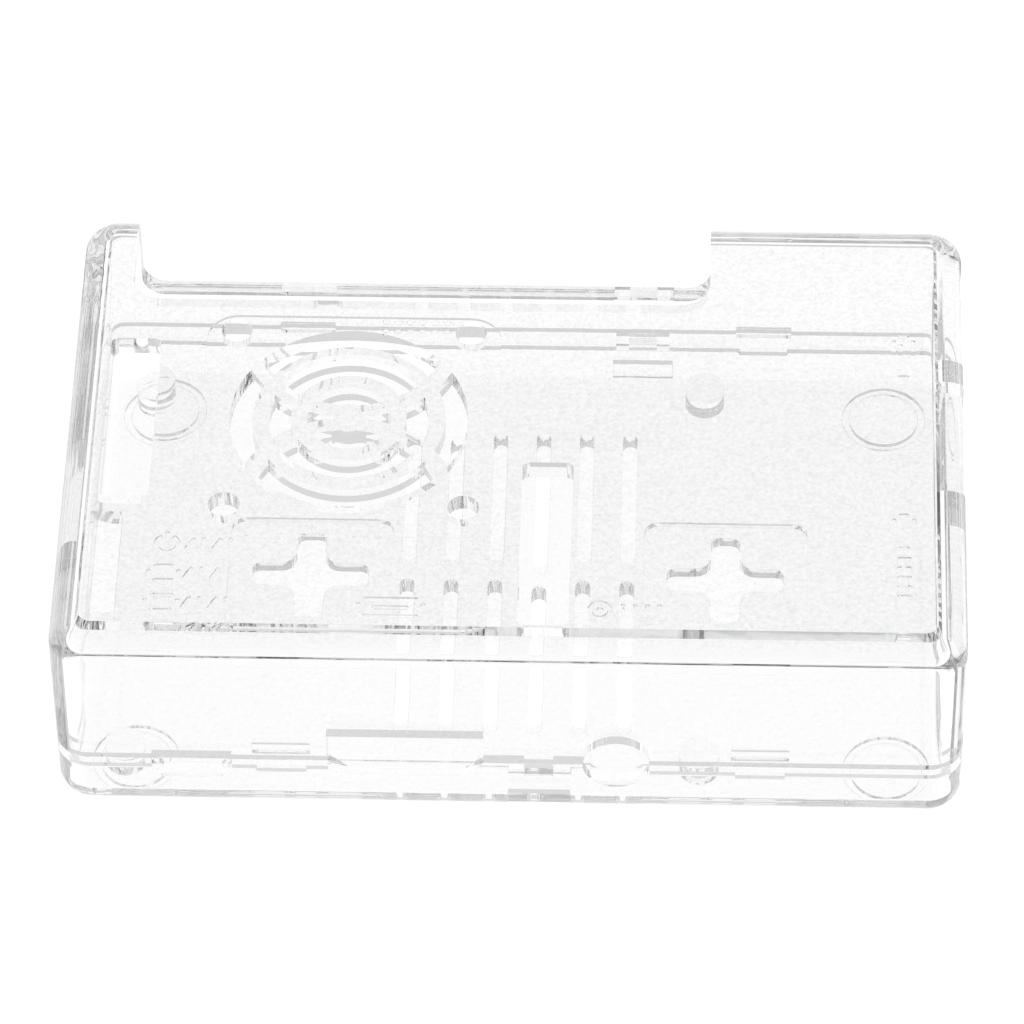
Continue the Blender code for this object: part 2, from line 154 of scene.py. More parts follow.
# Fan grille
FAN_X = -16.85 * MM
FAN_Y = 0.75 * MM
FAN_SEAT = 30.2 * MM
FAN_SEAT_RADIUS = 3.2 * MM
FAN_SEAT_DEPTH = 0.3 * MM
FAN_HOLE_PITCH = 24.0 * MM
FAN_HOLE_DIAMETER = 3.2 * MM
GRILLE_BANDS = ((0.0, 4.2 * MM), (5.85 * MM, 8.15 * MM), (9.8 * MM, 12.1 * MM))
GRILLE_HUB_RADIUS = 1.9 * MM
SPOKE_WIDTH = 1.7 * MM
SPOKE_BEND = 10.4 * MM
SPOKE_OFFSET = 0.85 * MM
SPOKE_SWEEP = 75
GRILLE_STEPS = 96
FAN_HOLE_STEPS = 20
POST_STEPS = 24

# Tray floor
VENT_WIDTH = 1.5 * MM
VENT_LENGTH = 18.0 * MM
VENT_PITCH = 4.54 * MM
VENTS_PER_ROW = 6
VENT_ROWS = (10.7 * MM, -9.95 * MM)
SLOT_END_FLAT = 0.01 * MM
HANGER_X = 21.5 * MM
HANGER_Y = 0.1 * MM
HANGER_LENGTH = (12.1 * MM, 11.6 * MM)
HANGER_ARM = 3.0 * MM
HANGER_INNER_RADIUS = 1.6 * MM
HANGER_END_RADIUS = 0.9 * MM
HANGER_POCKET = (16.9 * MM, 18.6 * MM)
HANGER_POCKET_Y = -1.95 * MM
HANGER_POCKET_RADIUS = 1.5 * MM
HANGER_POCKET_DEPTH = 0.7 * MM
FOOT_X = 38.0 * MM
FOOT_Y = 23.2 * MM
FOOT_RING = (3.6 * MM, 4.4 * MM)
FOOT_RING_DEPTH = 0.5 * MM

RIM = PARTING - GAP / 2
COVER_EDGE = PARTING + GAP / 2
TONGUE_INSET = LIP + GAP
BACK = DEPTH / 2
RIGHT = LENGTH / 2

# Edge rounding, and the angles below which an edge counts as flat or as smooth
EDGE_ROUND = 0.12 * MM
EDGE_SEGMENTS = 3
WELD = 0.004 * MM
FLAT_ANGLE = math.radians(0.5)
SHARP_ANGLE = math.radians(35)

# Engraved port marks on the cover's top
MARK_DEPTH = 0.25 * MM
MARK_STROKE = 0.45 * MM
HEADER_MARK = (-13.6 * MM, 12.9 * MM)
HEADER_MARK_DOTS = (6, 2)
HEADER_MARK_PITCH = 1.25 * MM
HEADER_MARK_DOT = 0.4 * MM
USB_MARK = (39.3 * MM, 10.3 * MM)
USB_MARK_SIZE = (2.0 * MM, 5.6 * MM)
USB_MARK_BAR = 3.6 * MM
USB_MARK_BAR_X = 39.0 * MM
NETWORK_MARK = (39.2 * MM, -13.6 * MM)
NETWORK_MARK_SIZE = (2.0 * MM, 4.4 * MM)
NETWORK_STROKES = 5
NETWORK_STROKES_Y = -17.2 * MM
NETWORK_STROKE_PITCH = 1.25 * MM
NETWORK_STROKE = 1.5 * MM
AUDIO_MARK = (9.1 * MM, -24.55 * MM)
AUDIO_MARK_RADIUS = 1.0 * MM
AUDIO_MARK_ARC = (5, 355)
AUDIO_MARK_DOT = 0.35 * MM
AUDIO_STROKES = 4
AUDIO_STROKES_X = 11.4 * MM
AUDIO_STROKE_PITCH = 1.2 * MM
AUDIO_STROKE = 1.7 * MM
POWER_MARK = (-34.2 * MM, -16.6 * MM)
POWER_MARK_RADIUS = 1.1 * MM
POWER_MARK_ARC = (120, 420)
POWER_MARK_BAR = 1.3 * MM
POWER_MARK_BAR_Y = -15.6 * MM
LEFT_STROKES = (-31.9 * MM, -16.6 * MM)
LEFT_STROKE_ROWS = 3
LEFT_STROKE_PITCH = (1.35 * MM, 3.9 * MM)
LEFT_STROKE = 1.8 * MM
LEFT_STROKE_SLANT = 62
LEFT_FRAMES = (
    ((3.0 * MM, 1.9 * MM), (-34.3 * MM, -20.5 * MM)),
    ((3.2 * MM, 2.0 * MM), (-34.3 * MM, -24.4 * MM)),
)
VIDEO_MARK = (-11.6 * MM, -24.6 * MM)
VIDEO_MARK_SIZE = (6.4 * MM, 2.2 * MM)
VIDEO_MARK_BAR = 3.6 * MM

# Grain: how clear its darkest specks leave each part, its fineness, the part of the noise
# that shows, and how near to straight up or down a face has to point to carry it
COVER_GRAIN = 0.9
TRAY_GRAIN = 0.94
GRAIN_SCALE = 2000.0
GRAIN_RANGE = (0.38, 0.56)
LEVEL_FACES = (0.9, 0.99)
GRAIN_DETAIL = 3.0
GRAIN_ROUGHNESS = 0.65

# Plastic: refraction, uneven polish, slight waviness, and how it dims light inside
PLASTIC_IOR = 1.5
SMEAR_SCALE = 70.0
SMEAR_DETAIL = 4.0
SMEAR_RANGE = (0.35, 0.75)
SMEAR_MOST = 0.035
WAVE_SCALE = 260.0
WAVE_DETAIL = 2.0
WAVE_STRENGTH = 0.15
WAVE_HEIGHT = 0.02 * MM
DIMMING_COLOUR = (0.5, 0.51, 0.52, 1.0)
DIMMING_DENSITY = 7.0
WHITE = (1.0, 1.0, 1.0, 1.0)

# Camera: where it stands, its axes, and a long lens on a 36 mm wide sensor
CAMERA_PLACE = (19.832 * MM, -479.491 * MM, 545.777 * MM)
CAMERA_BACK = (0.02827, -0.66829, 0.74336)
CAMERA_RIGHT = (0.99949, 0.02973, -0.01128)
CAMERA_LENS = 246.15
CAMERA_SENSOR = 36.0
CAMERA_CLIP = (0.02, 60.0)

# Light: brightness of the surroundings by the sine of the height angle, and of the floor, of
# which the reflected part is taken off what the floor gives out itself
SKY_LEVELS = ((0.0, 0.6), (0.3, 0.7), (0.72, 0.68), (1.0, 0.78))
FLOOR_GLOW = 1.07
FLOOR_COLOUR = (0.12, 0.12, 0.12, 1.0)
FLOOR_REFLECTED = 0.08
FLOOR_SIZE = 8.0
FLOOR_DROP = 0.05 * MM
LIGHT_BOUNCES = 40


def arc(centre, radius, start, end, steps):
    """Points along an arc in a plane, with angles in degrees."""
    angles = [math.radians(start + (end - start) * step / steps) for step in range(steps + 1)]
    return [(centre[0] + radius * math.cos(a), centre[1] + radius * math.sin(a)) for a in angles]


def rounded_rectangle(width, height, radius, steps=CORNER_STEPS):
    """Outline of a rectangle about (0, 0), counter-clockwise, with round corners."""
    outline = []
    for turn, (side_x, side_y) in enumerate(((1, 1), (-1, 1), (-1, -1), (1, -1))):
        centre = (side_x * (width / 2 - radius), side_y * (height / 2 - radius))
        outline += arc(centre, radius, 90 * turn, 90 * turn + 90, steps)
    return outline


def new_object(name, bm, origin=(0, 0, 0)):
    """Turn a bmesh into a named object whose origin is at the given point."""
    bmesh.ops.recalc_face_normals(bm, faces=bm.faces)
    bmesh.ops.translate(bm, verts=bm.verts, vec=-Vector(origin))
    mesh = bpy.data.meshes.new(name)
    bm.to_mesh(mesh)
    bm.free()
    made = bpy.data.objects.new(name, mesh)
    made.location = origin
    bpy.context.scene.collection.objects.link(made)
    return made


def loft(name, rings, origin=(0, 0, 0)):
    """Closed solid through rings of equally many 3-D points, with flat ends."""
    bm = bmesh.new()
    loops = [[bm.verts.new(point) for point in ring] for ring in rings]
    count = len(loops[0])
    for lower, upper in zip(loops, loops[1:]):
        for index in range(count):
            following = (index + 1) % count
            bm.faces.new((lower[index], lower[following], upper[following], upper[index]))
    bm.faces.new(reversed(loops[0]))
    bm.faces.new(loops[-1])
    return new_object(name, bm, origin)


def prism(name, outline, low, high, axis="Z", centre=(0, 0)):
    """Solid from a flat outline, drawn across one axis and stretched along it."""
    def place(point, level):
        across, up = point[0] + centre[0], point[1] + centre[1]
        return {"Z": (across, up, level), "Y": (across, level, up), "X": (level, across, up)}[axis]

    rings = [[place(point, level) for point in outline] for level in (low, high)]
    return loft(name, rings)


def box(name, low, high):
    """Solid box between two corners."""
    outline = [(low[0], low[1]), (high[0], low[1]), (high[0], high[1]), (low[0], high[1])]
    return prism(name, outline, low[2], high[2])


def shell_solid(name, levels, origin=(0, 0, 0)):
    """Case-shaped solid: at each (height, inset) a round-cornered rectangle smaller by the inset."""
    rings = []
    for height, inset in levels:
        radius = max(CORNER_RADIUS - inset, LEAST_CORNER_RADIUS)
        outline = rounded_rectangle(LENGTH - 2 * inset, DEPTH - 2 * inset, radius)
        rings.append([(x, y, height) for x, y in outline])
    return loft(name, rings, origin)


def fillet_levels(height, inset, radius, upwards):
    """(height, inset) pairs of a quarter-round that ends flat at the given height."""
    sign = -1 if upwards else 1
    turns = [math.radians(90 * step / FILLET_STEPS) for step in range(FILLET_STEPS + 1)]
    levels = [
        (height + sign * radius * (1 - math.sin(t)), inset + radius * (1 - math.cos(t)))
        for t in turns
    ]
    return levels if upwards else levels[::-1]


def cutters(name, objects):
    """Gather helper solids in a hidden collection, ready for one Boolean."""
    group = bpy.data.collections.new(name)
    bpy.context.scene.collection.children.link(group)
    group.hide_render = True
    for helper in objects:
        bpy.context.scene.collection.objects.unlink(helper)
        group.objects.link(helper)
        helper.hide_render = True
        helper.display_type = "WIRE"
    return group


def boolean(target, operation, group):
    """Union, difference or intersection of an object with a collection of helpers."""
    modifier = target.modifiers.new(group.name, "BOOLEAN")
    modifier.operation = operation
    modifier.solver = "EXACT"
    modifier.operand_type = "COLLECTION"
    modifier.collection = group


def settle(made):
    """Apply an object's Booleans, then round its sharp edges a little."""
    bpy.context.view_layer.update()
    graph = bpy.context.evaluated_depsgraph_get()
    mesh = bpy.data.meshes.new_from_object(made.evaluated_get(graph), depsgraph=graph)
    made.modifiers.clear()
    made.data = mesh
    bm = bmesh.new()
    bm.from_mesh(mesh)
    bmesh.ops.remove_doubles(bm, verts=bm.verts, dist=WELD)
    bmesh.ops.dissolve_limit(bm, angle_limit=FLAT_ANGLE, verts=bm.verts, edges=bm.edges)
    sharp = [e for e in bm.edges if e.is_manifold and e.calc_face_angle(0.0) > SHARP_ANGLE]
    bmesh.ops.bevel(
        bm,
        geom=sharp,
        offset=EDGE_ROUND,
        offset_type="OFFSET",
        segments=EDGE_SEGMENTS,
        profile=0.5,
        affect="EDGES",
        clamp_overlap=True,
        harden_normals=False,
    )
    bm.to_mesh(mesh)
    bm.free()


def finish(made, material):
    """Settle a piece, give it its material, and shade it so that flat faces stay flat."""
    settle(made)
    made.data.materials.append(material)
    made.data.shade_smooth()
    made.data.set_sharp_from_angle(angle=SHARP_ANGLE)
    normals = made.modifiers.new("flat_faces", "WEIGHTED_NORMAL")
    normals.mode = "FACE_AREA"
    normals.weight = 100
    normals.keep_sharp = True


def board_y(distance):
    """World Y of a distance from the board's front edge."""
    return distance - BOARD_DEPTH / 2


def video_port(name, low, high):
    """Port opening with its two lower corners cut off."""
    half = VIDEO_WIDTH / 2
    cut = PARTING - VIDEO_BOTTOM
    outline = [(-half, PARTING), (cut - half, VIDEO_BOTTOM), (half - cut, VIDEO_BOTTOM), (half, PARTING)]
    outline += [(half, VIDEO_TOP), (-half, VIDEO_TOP)]
    return prism(name, outline, low, high, "Y", (VIDEO_X, 0))


def power_port(name, low, high):
    """Shallow port opening in the tray's rim, narrower at its foot."""
    half = POWER_WIDTH / 2
    shoulder = RIM - POWER_STRAIGHT
    top = RIM + OVERSHOOT
    outline = [(-half, top), (-half, shoulder), (POWER_CHAMFER - half, POWER_BOTTOM)]
    outline += [(half - POWER_CHAMFER, POWER_BOTTOM), (half, shoulder), (half, top)]
    return prism(name, outline, low, high, "Y", (POWER_X, 0))


def audio_port(name, low, high):
    """Round port opening."""
    outline = arc((0, 0), AUDIO_DIAMETER / 2, 0, 360, ROUND_STEPS)[:-1]
    return prism(name, outline, low, high, "Y", (AUDIO_X, AUDIO_Z))


def end_ports(name, bottom):
    """Openings in the right wall for the network and USB sockets."""
    made = []
    for number, (start, end, top) in enumerate(END_PORTS):
        low = (RIGHT - WALL - OVERSHOOT, board_y(start), bottom)
        high = (RIGHT + OVERSHOOT, board_y(end), top)
        made.append(box(f"{name}_{number}", low, high))
    return made


def snap_tabs(name, top, grow):
    """Trapezoids that hang below the tongue at the snaps, on both long sides."""
    made = []
    for centre_x in SNAP_CENTRES:
        half = SNAP_WIDTH / 2 + grow
        bottom = TONGUE_BOTTOM - SNAP_DROP - grow
        outline = [(-half, top), (SNAP_SLANT - half, bottom), (half - SNAP_SLANT, bottom), (half, top)]
        for side in (-1, 1):
            faces = sorted((side * (BACK - TONGUE_INSET + grow), side * (BACK - WALL - OVERSHOOT)))
            made.append(prism(f"{name}_{len(made)}", outline, *faces, "Y", (centre_x, 0)))
    return made


def latch_boxes(name, width, faces, low, high):
    """Boxes at the latch in each long side, between two distances from the outer face."""
    made = []
    for centre_x, side in LATCHES:
        near, far = sorted(side * (BACK - distance) for distance in faces)
        start = (centre_x - width / 2, near, low)
        end = (centre_x + width / 2, far, high)
        made.append(box(f"{name}_{len(made)}", start, end))
    return made


def tongue():
    """The tongue under the cover, open at the ports and latches, with its snaps."""
    bottom, top = TONGUE_BOTTOM, COVER_EDGE + OVERSHOOT
    ring = shell_solid("tongue_ring", [(bottom, TONGUE_INSET), (top, TONGUE_INSET)])
    below, above = bottom - OVERSHOOT, COVER_EDGE - GAP
    front, inside = -BACK, -BACK + WALL + OVERSHOOT
    gaps = [
        box(
            "gap_power",
            (POWER_X - POWER_WIDTH / 2, front, below),
            (POWER_X + POWER_WIDTH / 2, inside, top),
        ),
        box(
            "gap_video_audio",
            (VIDEO_X - VIDEO_WIDTH / 2, front, below),
            (AUDIO_X + AUDIO_DIAMETER / 2, inside, top),
        ),
    ]
    gaps += latch_boxes("gap_latch", LATCH_GAP, (0.0, WALL + OVERSHOOT), below, top)
    boolean(ring, "DIFFERENCE", cutters("tongue_gaps", gaps))
    tabs = snap_tabs("snap", above, 0.0)
    hooks = latch_boxes("latch", LATCH_WIDTH, (TONGUE_INSET, WALL + OVERSHOOT), LATCH_BOTTOM, top)
    return [ring] + tabs + hooks


def header_notch():
    """Cuts for the pin header: one down through the plate, one back through the wall."""
    width = HEADER_RIGHT - HEADER_LEFT
    centre_x = (HEADER_RIGHT + HEADER_LEFT) / 2
    reach = BACK + OVERSHOOT + HEADER_PLAN_RADIUS
    plan = rounded_rectangle(width, reach - HEADER_FRONT, HEADER_PLAN_RADIUS)
    plan_centre = (centre_x, (reach + HEADER_FRONT) / 2)
    plate_low = HEIGHT - PLATE - INNER_TOP_FILLET - OVERSHOOT
    plate_cut = prism("header_plate", plan, plate_low, HEIGHT + OVERSHOOT, "Z", plan_centre)
    rise = HEIGHT + OVERSHOOT + HEADER_WALL_RADIUS
    face = rounded_rectangle(width, rise - HEADER_WALL_Z, HEADER_WALL_RADIUS)
    face_centre = (centre_x, (rise + HEADER_WALL_Z) / 2)
    near = BACK - WALL - OVERSHOOT
    wall_cut = prism("header_wall", face, near, BACK + OVERSHOOT, "Y", face_centre)
    return [plate_cut, wall_cut]


def ribbon_slots():
    """Two long slots in the plate for flat cables."""
    outline = rounded_rectangle(RIBBON_WIDTH, RIBBON_LENGTH, RIBBON_RADIUS)
    low, high = HEIGHT - PLATE - OVERSHOOT, HEIGHT + OVERSHOOT
    return [
        prism(f"ribbon_{number}", outline, low, high, "Z", centre)
        for number, centre in enumerate(RIBBON_SLOTS)
    ]


def ring_outline(radius, steps=GRILLE_STEPS):
    """Circle outline about (0, 0)."""
    return arc((0, 0), radius, 0, 360, steps)[:-1]


def spokes(low, high):
    """Two curved bars that bow towards each other and meet at the hub."""
    made = []
    steps = GRILLE_STEPS // 2
    for side in (1, -1):
        centre = (FAN_X, FAN_Y + side * (SPOKE_OFFSET + SPOKE_BEND))
        start, end = -90 * side - SPOKE_SWEEP, -90 * side + SPOKE_SWEEP
        outer = arc(centre, SPOKE_BEND + SPOKE_WIDTH / 2, start, end, steps)
        inner = arc(centre, SPOKE_BEND - SPOKE_WIDTH / 2, end, start, steps)
        made.append(prism(f"spoke_{len(made)}", outer + inner, low, high))
    return made


def fan_openings():
    """Grille openings, screw holes and the shallow seat under the plate."""
    low, high = HEIGHT - PLATE - OVERSHOOT, HEIGHT + OVERSHOOT
    fan = (FAN_X, FAN_Y)
    bars = spokes(low - OVERSHOOT, high + OVERSHOOT)
    hub = ring_outline(GRILLE_HUB_RADIUS)
    bars.append(prism("hub", hub, low - OVERSHOOT, high + OVERSHOOT, "Z", fan))
    bar_group = cutters("grille_bars", bars)
    made = []
    for number, (inner, outer) in enumerate(GRILLE_BANDS):
        opening = prism(f"grille_band_{number}", ring_outline(outer), low, high, "Z", fan)
        if inner:
            core = prism(f"grille_core_{number}", ring_outline(inner), low - GAP, high + GAP, "Z", fan)
            boolean(opening, "DIFFERENCE", cutters(f"grille_core_of_{number}", [core]))
        boolean(opening, "DIFFERENCE", bar_group)
        made.append(opening)
    for side_x in (-1, 1):
        for side_y in (-1, 1):
            centre = (FAN_X + side_x * FAN_HOLE_PITCH / 2, FAN_Y + side_y * FAN_HOLE_PITCH / 2)
            outline = ring_outline(FAN_HOLE_DIAMETER / 2, FAN_HOLE_STEPS)
            made.append(prism(f"fan_hole_{len(made)}", outline, low, high, "Z", centre))
    seat = rounded_rectangle(FAN_SEAT, FAN_SEAT, FAN_SEAT_RADIUS)
    seat_top = HEIGHT - PLATE + FAN_SEAT_DEPTH
    made.append(prism("fan_seat", seat, low - OVERSHOOT, seat_top, "Z", fan))
    return made


def snap_pockets():
    """Shallow pockets inside the cover's wall, just above each snap."""
    made = []
    top = COVER_EDGE + SNAP_POCKET_HEIGHT
    for centre_x in SNAP_CENTRES:
        for side in (-1, 1):
            inner = side * (BACK - WALL - OVERSHOOT)
            outer = side * (BACK - WALL + SNAP_POCKET_DEPTH)
            low = (centre_x - SNAP_WIDTH / 2, min(inner, outer), COVER_EDGE)
            high = (centre_x + SNAP_WIDTH / 2, max(inner, outer), top)
            made.append(box(f"snap_pocket_{len(made)}", low, high))
    return made


def top_cover(material):
    """The cover, whose origin is on its sliding axis in the parting plane."""
    levels = [(COVER_EDGE, 0.0)] + fillet_levels(HEIGHT - PANEL_RISE, 0.0, TOP_FILLET, upwards=True)
    border = TOP_FILLET + PANEL_BORDER
    levels += [(HEIGHT - PANEL_RISE, border), (HEIGHT, border + PANEL_SLOPE)]
    cover = shell_solid("clear_cover", levels, origin=(0, 0, PARTING))
    boolean(cover, "UNION", cutters("tongue_parts", tongue()))
    ceiling = fillet_levels(HEIGHT - PLATE, WALL, INNER_TOP_FILLET, upwards=True)
    hollow = shell_solid("cover_hollow", [(TONGUE_BOTTOM - OVERSHOOT, WALL)] + ceiling)
    boolean(cover, "DIFFERENCE", cutters("cover_inside", [hollow]))
    near, far = -BACK - OVERSHOOT, -BACK + WALL + OVERSHOOT
    openings = [video_port("cover_video", near, far), audio_port("cover_audio", near, far)]
    openings += end_ports("cover_end_port", TONGUE_BOTTOM - OVERSHOOT)
    openings += header_notch() + ribbon_slots() + fan_openings() + snap_pockets()
    boolean(cover, "DIFFERENCE", cutters("cover_openings", openings))
    boolean(cover, "DIFFERENCE", cutters("cover_marks", marks()))
    finish(cover, material)
    return cover


def posts():
    """Four posts under the board's corner holes."""
    made = []
    outline = ring_outline(POST_DIAMETER / 2, POST_STEPS)
    for along in (HOLE_INSET, HOLE_INSET + HOLE_PITCH):
        for side in (-1, 1):
            centre = (BOARD_LEFT + along, side * POST_Y)
            top = BOARD_TOP - BOARD_THICKNESS
            made.append(prism(f"post_{len(made)}", outline, WALL / 2, top, "Z", centre))
    return made


def slot_outline(width, length):
    """Straight slot with round ends, long in Y."""
    return rounded_rectangle(width, length, width / 2 - SLOT_END_FLAT, 4)


def vents():
    """Two rows of long slots in the floor."""
    made = []
    outline = slot_outline(VENT_WIDTH, VENT_LENGTH)
    for row_y in VENT_ROWS:
        for index in range(VENTS_PER_ROW):
            centre = ((index - (VENTS_PER_ROW - 1) / 2) * VENT_PITCH, row_y)
            made.append(prism(f"vent_{len(made)}", outline, -OVERSHOOT, WALL + OVERSHOOT, "Z", centre))
    return made


def cross_outline():
    """Plus-shaped outline with round ends and round inner corners."""
    outline = []
    half_arm = HANGER_ARM / 2
    for turn in range(4):
        reach = HANGER_LENGTH[turn % 2] / 2
        angle = math.radians(90 * turn)
        end = HANGER_END_RADIUS
        inner = half_arm + HANGER_INNER_RADIUS
        points = arc((reach - end, -half_arm + end), end, -90, 0, 3)
        points += arc((reach - end, half_arm - end), end, 0, 90, 3)
        points += arc((inner, inner), HANGER_INNER_RADIUS, 270, 180, 4)
        for x, y in points:
            across = x * math.cos(angle) - y * math.sin(angle)
            outline.append((across, x * math.sin(angle) + y * math.cos(angle)))
    return outline


def hangers():
    """Cross-shaped wall-hanging holes, each in a shallow pocket in the floor."""
    made = []
    pocket = rounded_rectangle(*HANGER_POCKET, HANGER_POCKET_RADIUS)
    cross = cross_outline()
    for side in (-1, 1):
        centre = (side * HANGER_X, HANGER_Y)
        made.append(prism(f"hanger_cross_{side + 1}", cross, -OVERSHOOT, WALL + OVERSHOOT, "Z", centre))
        pocket_low = WALL - HANGER_POCKET_DEPTH
        middle = (side * HANGER_X, HANGER_POCKET_Y)
        made.append(prism(f"hanger_pocket_{side + 1}", pocket, pocket_low, WALL + OVERSHOOT, "Z", middle))
    return made


def foot_rings():
    """Shallow ring grooves under the floor that locate stick-on feet."""
    made = []
    for side_x in (-1, 1):
        for side_y in (-1, 1):
            centre = (side_x * FOOT_X, side_y * FOOT_Y)
            name = f"foot_ring_{len(made)}"
            inner, outer = (ring_outline(radius, ROUND_STEPS) for radius in FOOT_RING)
            groove = prism(name, outer, -OVERSHOOT, FOOT_RING_DEPTH, "Z", centre)
            core = prism(f"{name}_core", inner, -2 * OVERSHOOT, WALL, "Z", centre)
            boolean(groove, "DIFFERENCE", cutters(f"{name}_inside", [core]))
            made.append(groove)
    return made


def card_opening():
    """Finger notch through the tray's left wall and floor at the memory card."""
    low = (-RIGHT - OVERSHOOT, CARD_Y - CARD_WIDTH / 2, -OVERSHOOT)
    high = (-RIGHT + CARD_INSET, CARD_Y + CARD_WIDTH / 2, CARD_TOP)
    return box("card_opening", low, high)


def bottom_tray(material):
    """The tray that stands on the table."""
    levels = fillet_levels(0.0, 0.0, BOTTOM_FILLET, upwards=False) + [(RIM, 0.0)]
    tray = shell_solid("clear_tray", levels)
    floor = fillet_levels(WALL, WALL, INNER_FLOOR_FILLET, upwards=False)
    hollow = shell_solid("tray_hollow", floor + [(PARTING + OVERSHOOT, WALL)])
    ledge_z = TONGUE_BOTTOM - GAP
    ledge = shell_solid("tray_ledge", [(ledge_z, LIP), (PARTING + 2 * OVERSHOOT, LIP)])
    boolean(tray, "DIFFERENCE", cutters("tray_inside", [hollow, ledge]))
    boolean(tray, "UNION", cutters("tray_posts", posts()))
    near, far = -BACK - OVERSHOOT, -BACK + WALL + OVERSHOOT
    openings = [
        video_port("tray_video", near, far),
        audio_port("tray_audio", near, far),
        power_port("tray_power", near, far),
        card_opening(),
    ]
    openings += end_ports("tray_end_port", END_PORT_BOTTOM)
    openings += vents() + hangers() + foot_rings()
    openings += snap_tabs("snap_room", ledge_z + OVERSHOOT, GAP)
    openings += latch_boxes("latch_window", LATCH_WIDTH, (-OVERSHOOT, LIP + OVERSHOOT), *LATCH_WINDOW)
    openings += latch_boxes("pry_notch", PRY_WIDTH, (-OVERSHOOT, PRY_DEPTH), -OVERSHOOT, PRY_HEIGHT)
    boolean(tray, "DIFFERENCE", cutters("tray_openings", openings))
    finish(tray, material)
    return tray


def mark(outline, centre, angle=0.0):
    """Engraving cutter from a flat outline, turned and placed on the cover's top."""
    turn = math.radians(angle)
    placed = []
    for x, y in outline:
        across = centre[0] + x * math.cos(turn) - y * math.sin(turn)
        placed.append((across, centre[1] + x * math.sin(turn) + y * math.cos(turn)))
    return prism("mark", placed, HEIGHT - MARK_DEPTH, HEIGHT + OVERSHOOT)


def bar(length, centre, angle=0.0):
    """Engraved straight stroke with round ends."""
    return mark(rounded_rectangle(length, MARK_STROKE, MARK_STROKE * 0.49, 3), centre, angle)


def frame_marks(width, height, centre):
    """Engraved rectangle drawn as four strokes that just miss each other at the corners."""
    clear = 2 * MARK_STROKE
    return [
        bar(width - clear, (centre[0], centre[1] + height / 2)),
        bar(width - clear, (centre[0], centre[1] - height / 2)),
        bar(height - clear, (centre[0] - width / 2, centre[1]), 90),
        bar(height - clear, (centre[0] + width / 2, centre[1]), 90),
    ]


def ring_marks(radius, centre, start=0, end=360, steps=28):
    """Engraved ring or part of one."""
    outer = arc((0, 0), radius + MARK_STROKE / 2, start, end, steps)
    inner = arc((0, 0), radius - MARK_STROKE / 2, end, start, steps)
    return [mark(outer + inner, centre)]


def dot(centre, radius):
    """Engraved round dot."""
    return mark(arc((0, 0), radius, 0, 360, 16)[:-1], centre)


def row_of_bars(length, first, pitch, count, angle, frontwards):
    """Equal engraved strokes, one after another, towards the front or to the right."""
    made = []
    for step in range(count):
        shift = (0.0, -step * pitch) if frontwards else (step * pitch, 0.0)
        made.append(bar(length, (first[0] + shift[0], first[1] + shift[1]), angle))
    return made


def header_marks():
    """Two rows of dots for the pin header."""
    columns, rows = HEADER_MARK_DOTS
    made = []
    for column in range(columns):
        for row in range(rows):
            across = HEADER_MARK[0] + column * HEADER_MARK_PITCH
            made.append(dot((across, HEADER_MARK[1] + row * HEADER_MARK_PITCH), HEADER_MARK_DOT))
    return made


def left_marks():
    """Power ring with its stroke, two small frames, and three rows of strokes beside them."""
    made = ring_marks(POWER_MARK_RADIUS, POWER_MARK, *POWER_MARK_ARC)
    made.append(bar(POWER_MARK_BAR, (POWER_MARK[0], POWER_MARK_BAR_Y), 90))
    for row in range(LEFT_STROKE_ROWS):
        for column in range(4 - row % 2):
            across = LEFT_STROKES[0] + column * LEFT_STROKE_PITCH[0]
            place = (across, LEFT_STROKES[1] - row * LEFT_STROKE_PITCH[1])
            made.append(bar(LEFT_STROKE, place, 90 if column % 2 else LEFT_STROKE_SLANT))
    for size, centre in LEFT_FRAMES:
        made += frame_marks(*size, centre)
    return made


def marks():
    """Plain port symbols engraved beside the openings."""
    made = header_marks()
    made += frame_marks(*USB_MARK_SIZE, USB_MARK)
    made.append(bar(USB_MARK_BAR, (USB_MARK_BAR_X, USB_MARK[1]), 90))
    made += frame_marks(*NETWORK_MARK_SIZE, NETWORK_MARK)
    network = (NETWORK_MARK[0], NETWORK_STROKES_Y)
    made += row_of_bars(NETWORK_STROKE, network, NETWORK_STROKE_PITCH, NETWORK_STROKES, 0, True)
    made += ring_marks(AUDIO_MARK_RADIUS, AUDIO_MARK, *AUDIO_MARK_ARC)
    made.append(dot(AUDIO_MARK, AUDIO_MARK_DOT))
    audio = (AUDIO_STROKES_X, AUDIO_MARK[1])
    made += row_of_bars(AUDIO_STROKE, audio, AUDIO_STROKE_PITCH, AUDIO_STROKES, 90, False)
    made += left_marks()
    made += frame_marks(*VIDEO_MARK_SIZE, VIDEO_MARK)
    made.append(bar(VIDEO_MARK_BAR, VIDEO_MARK))
    return made


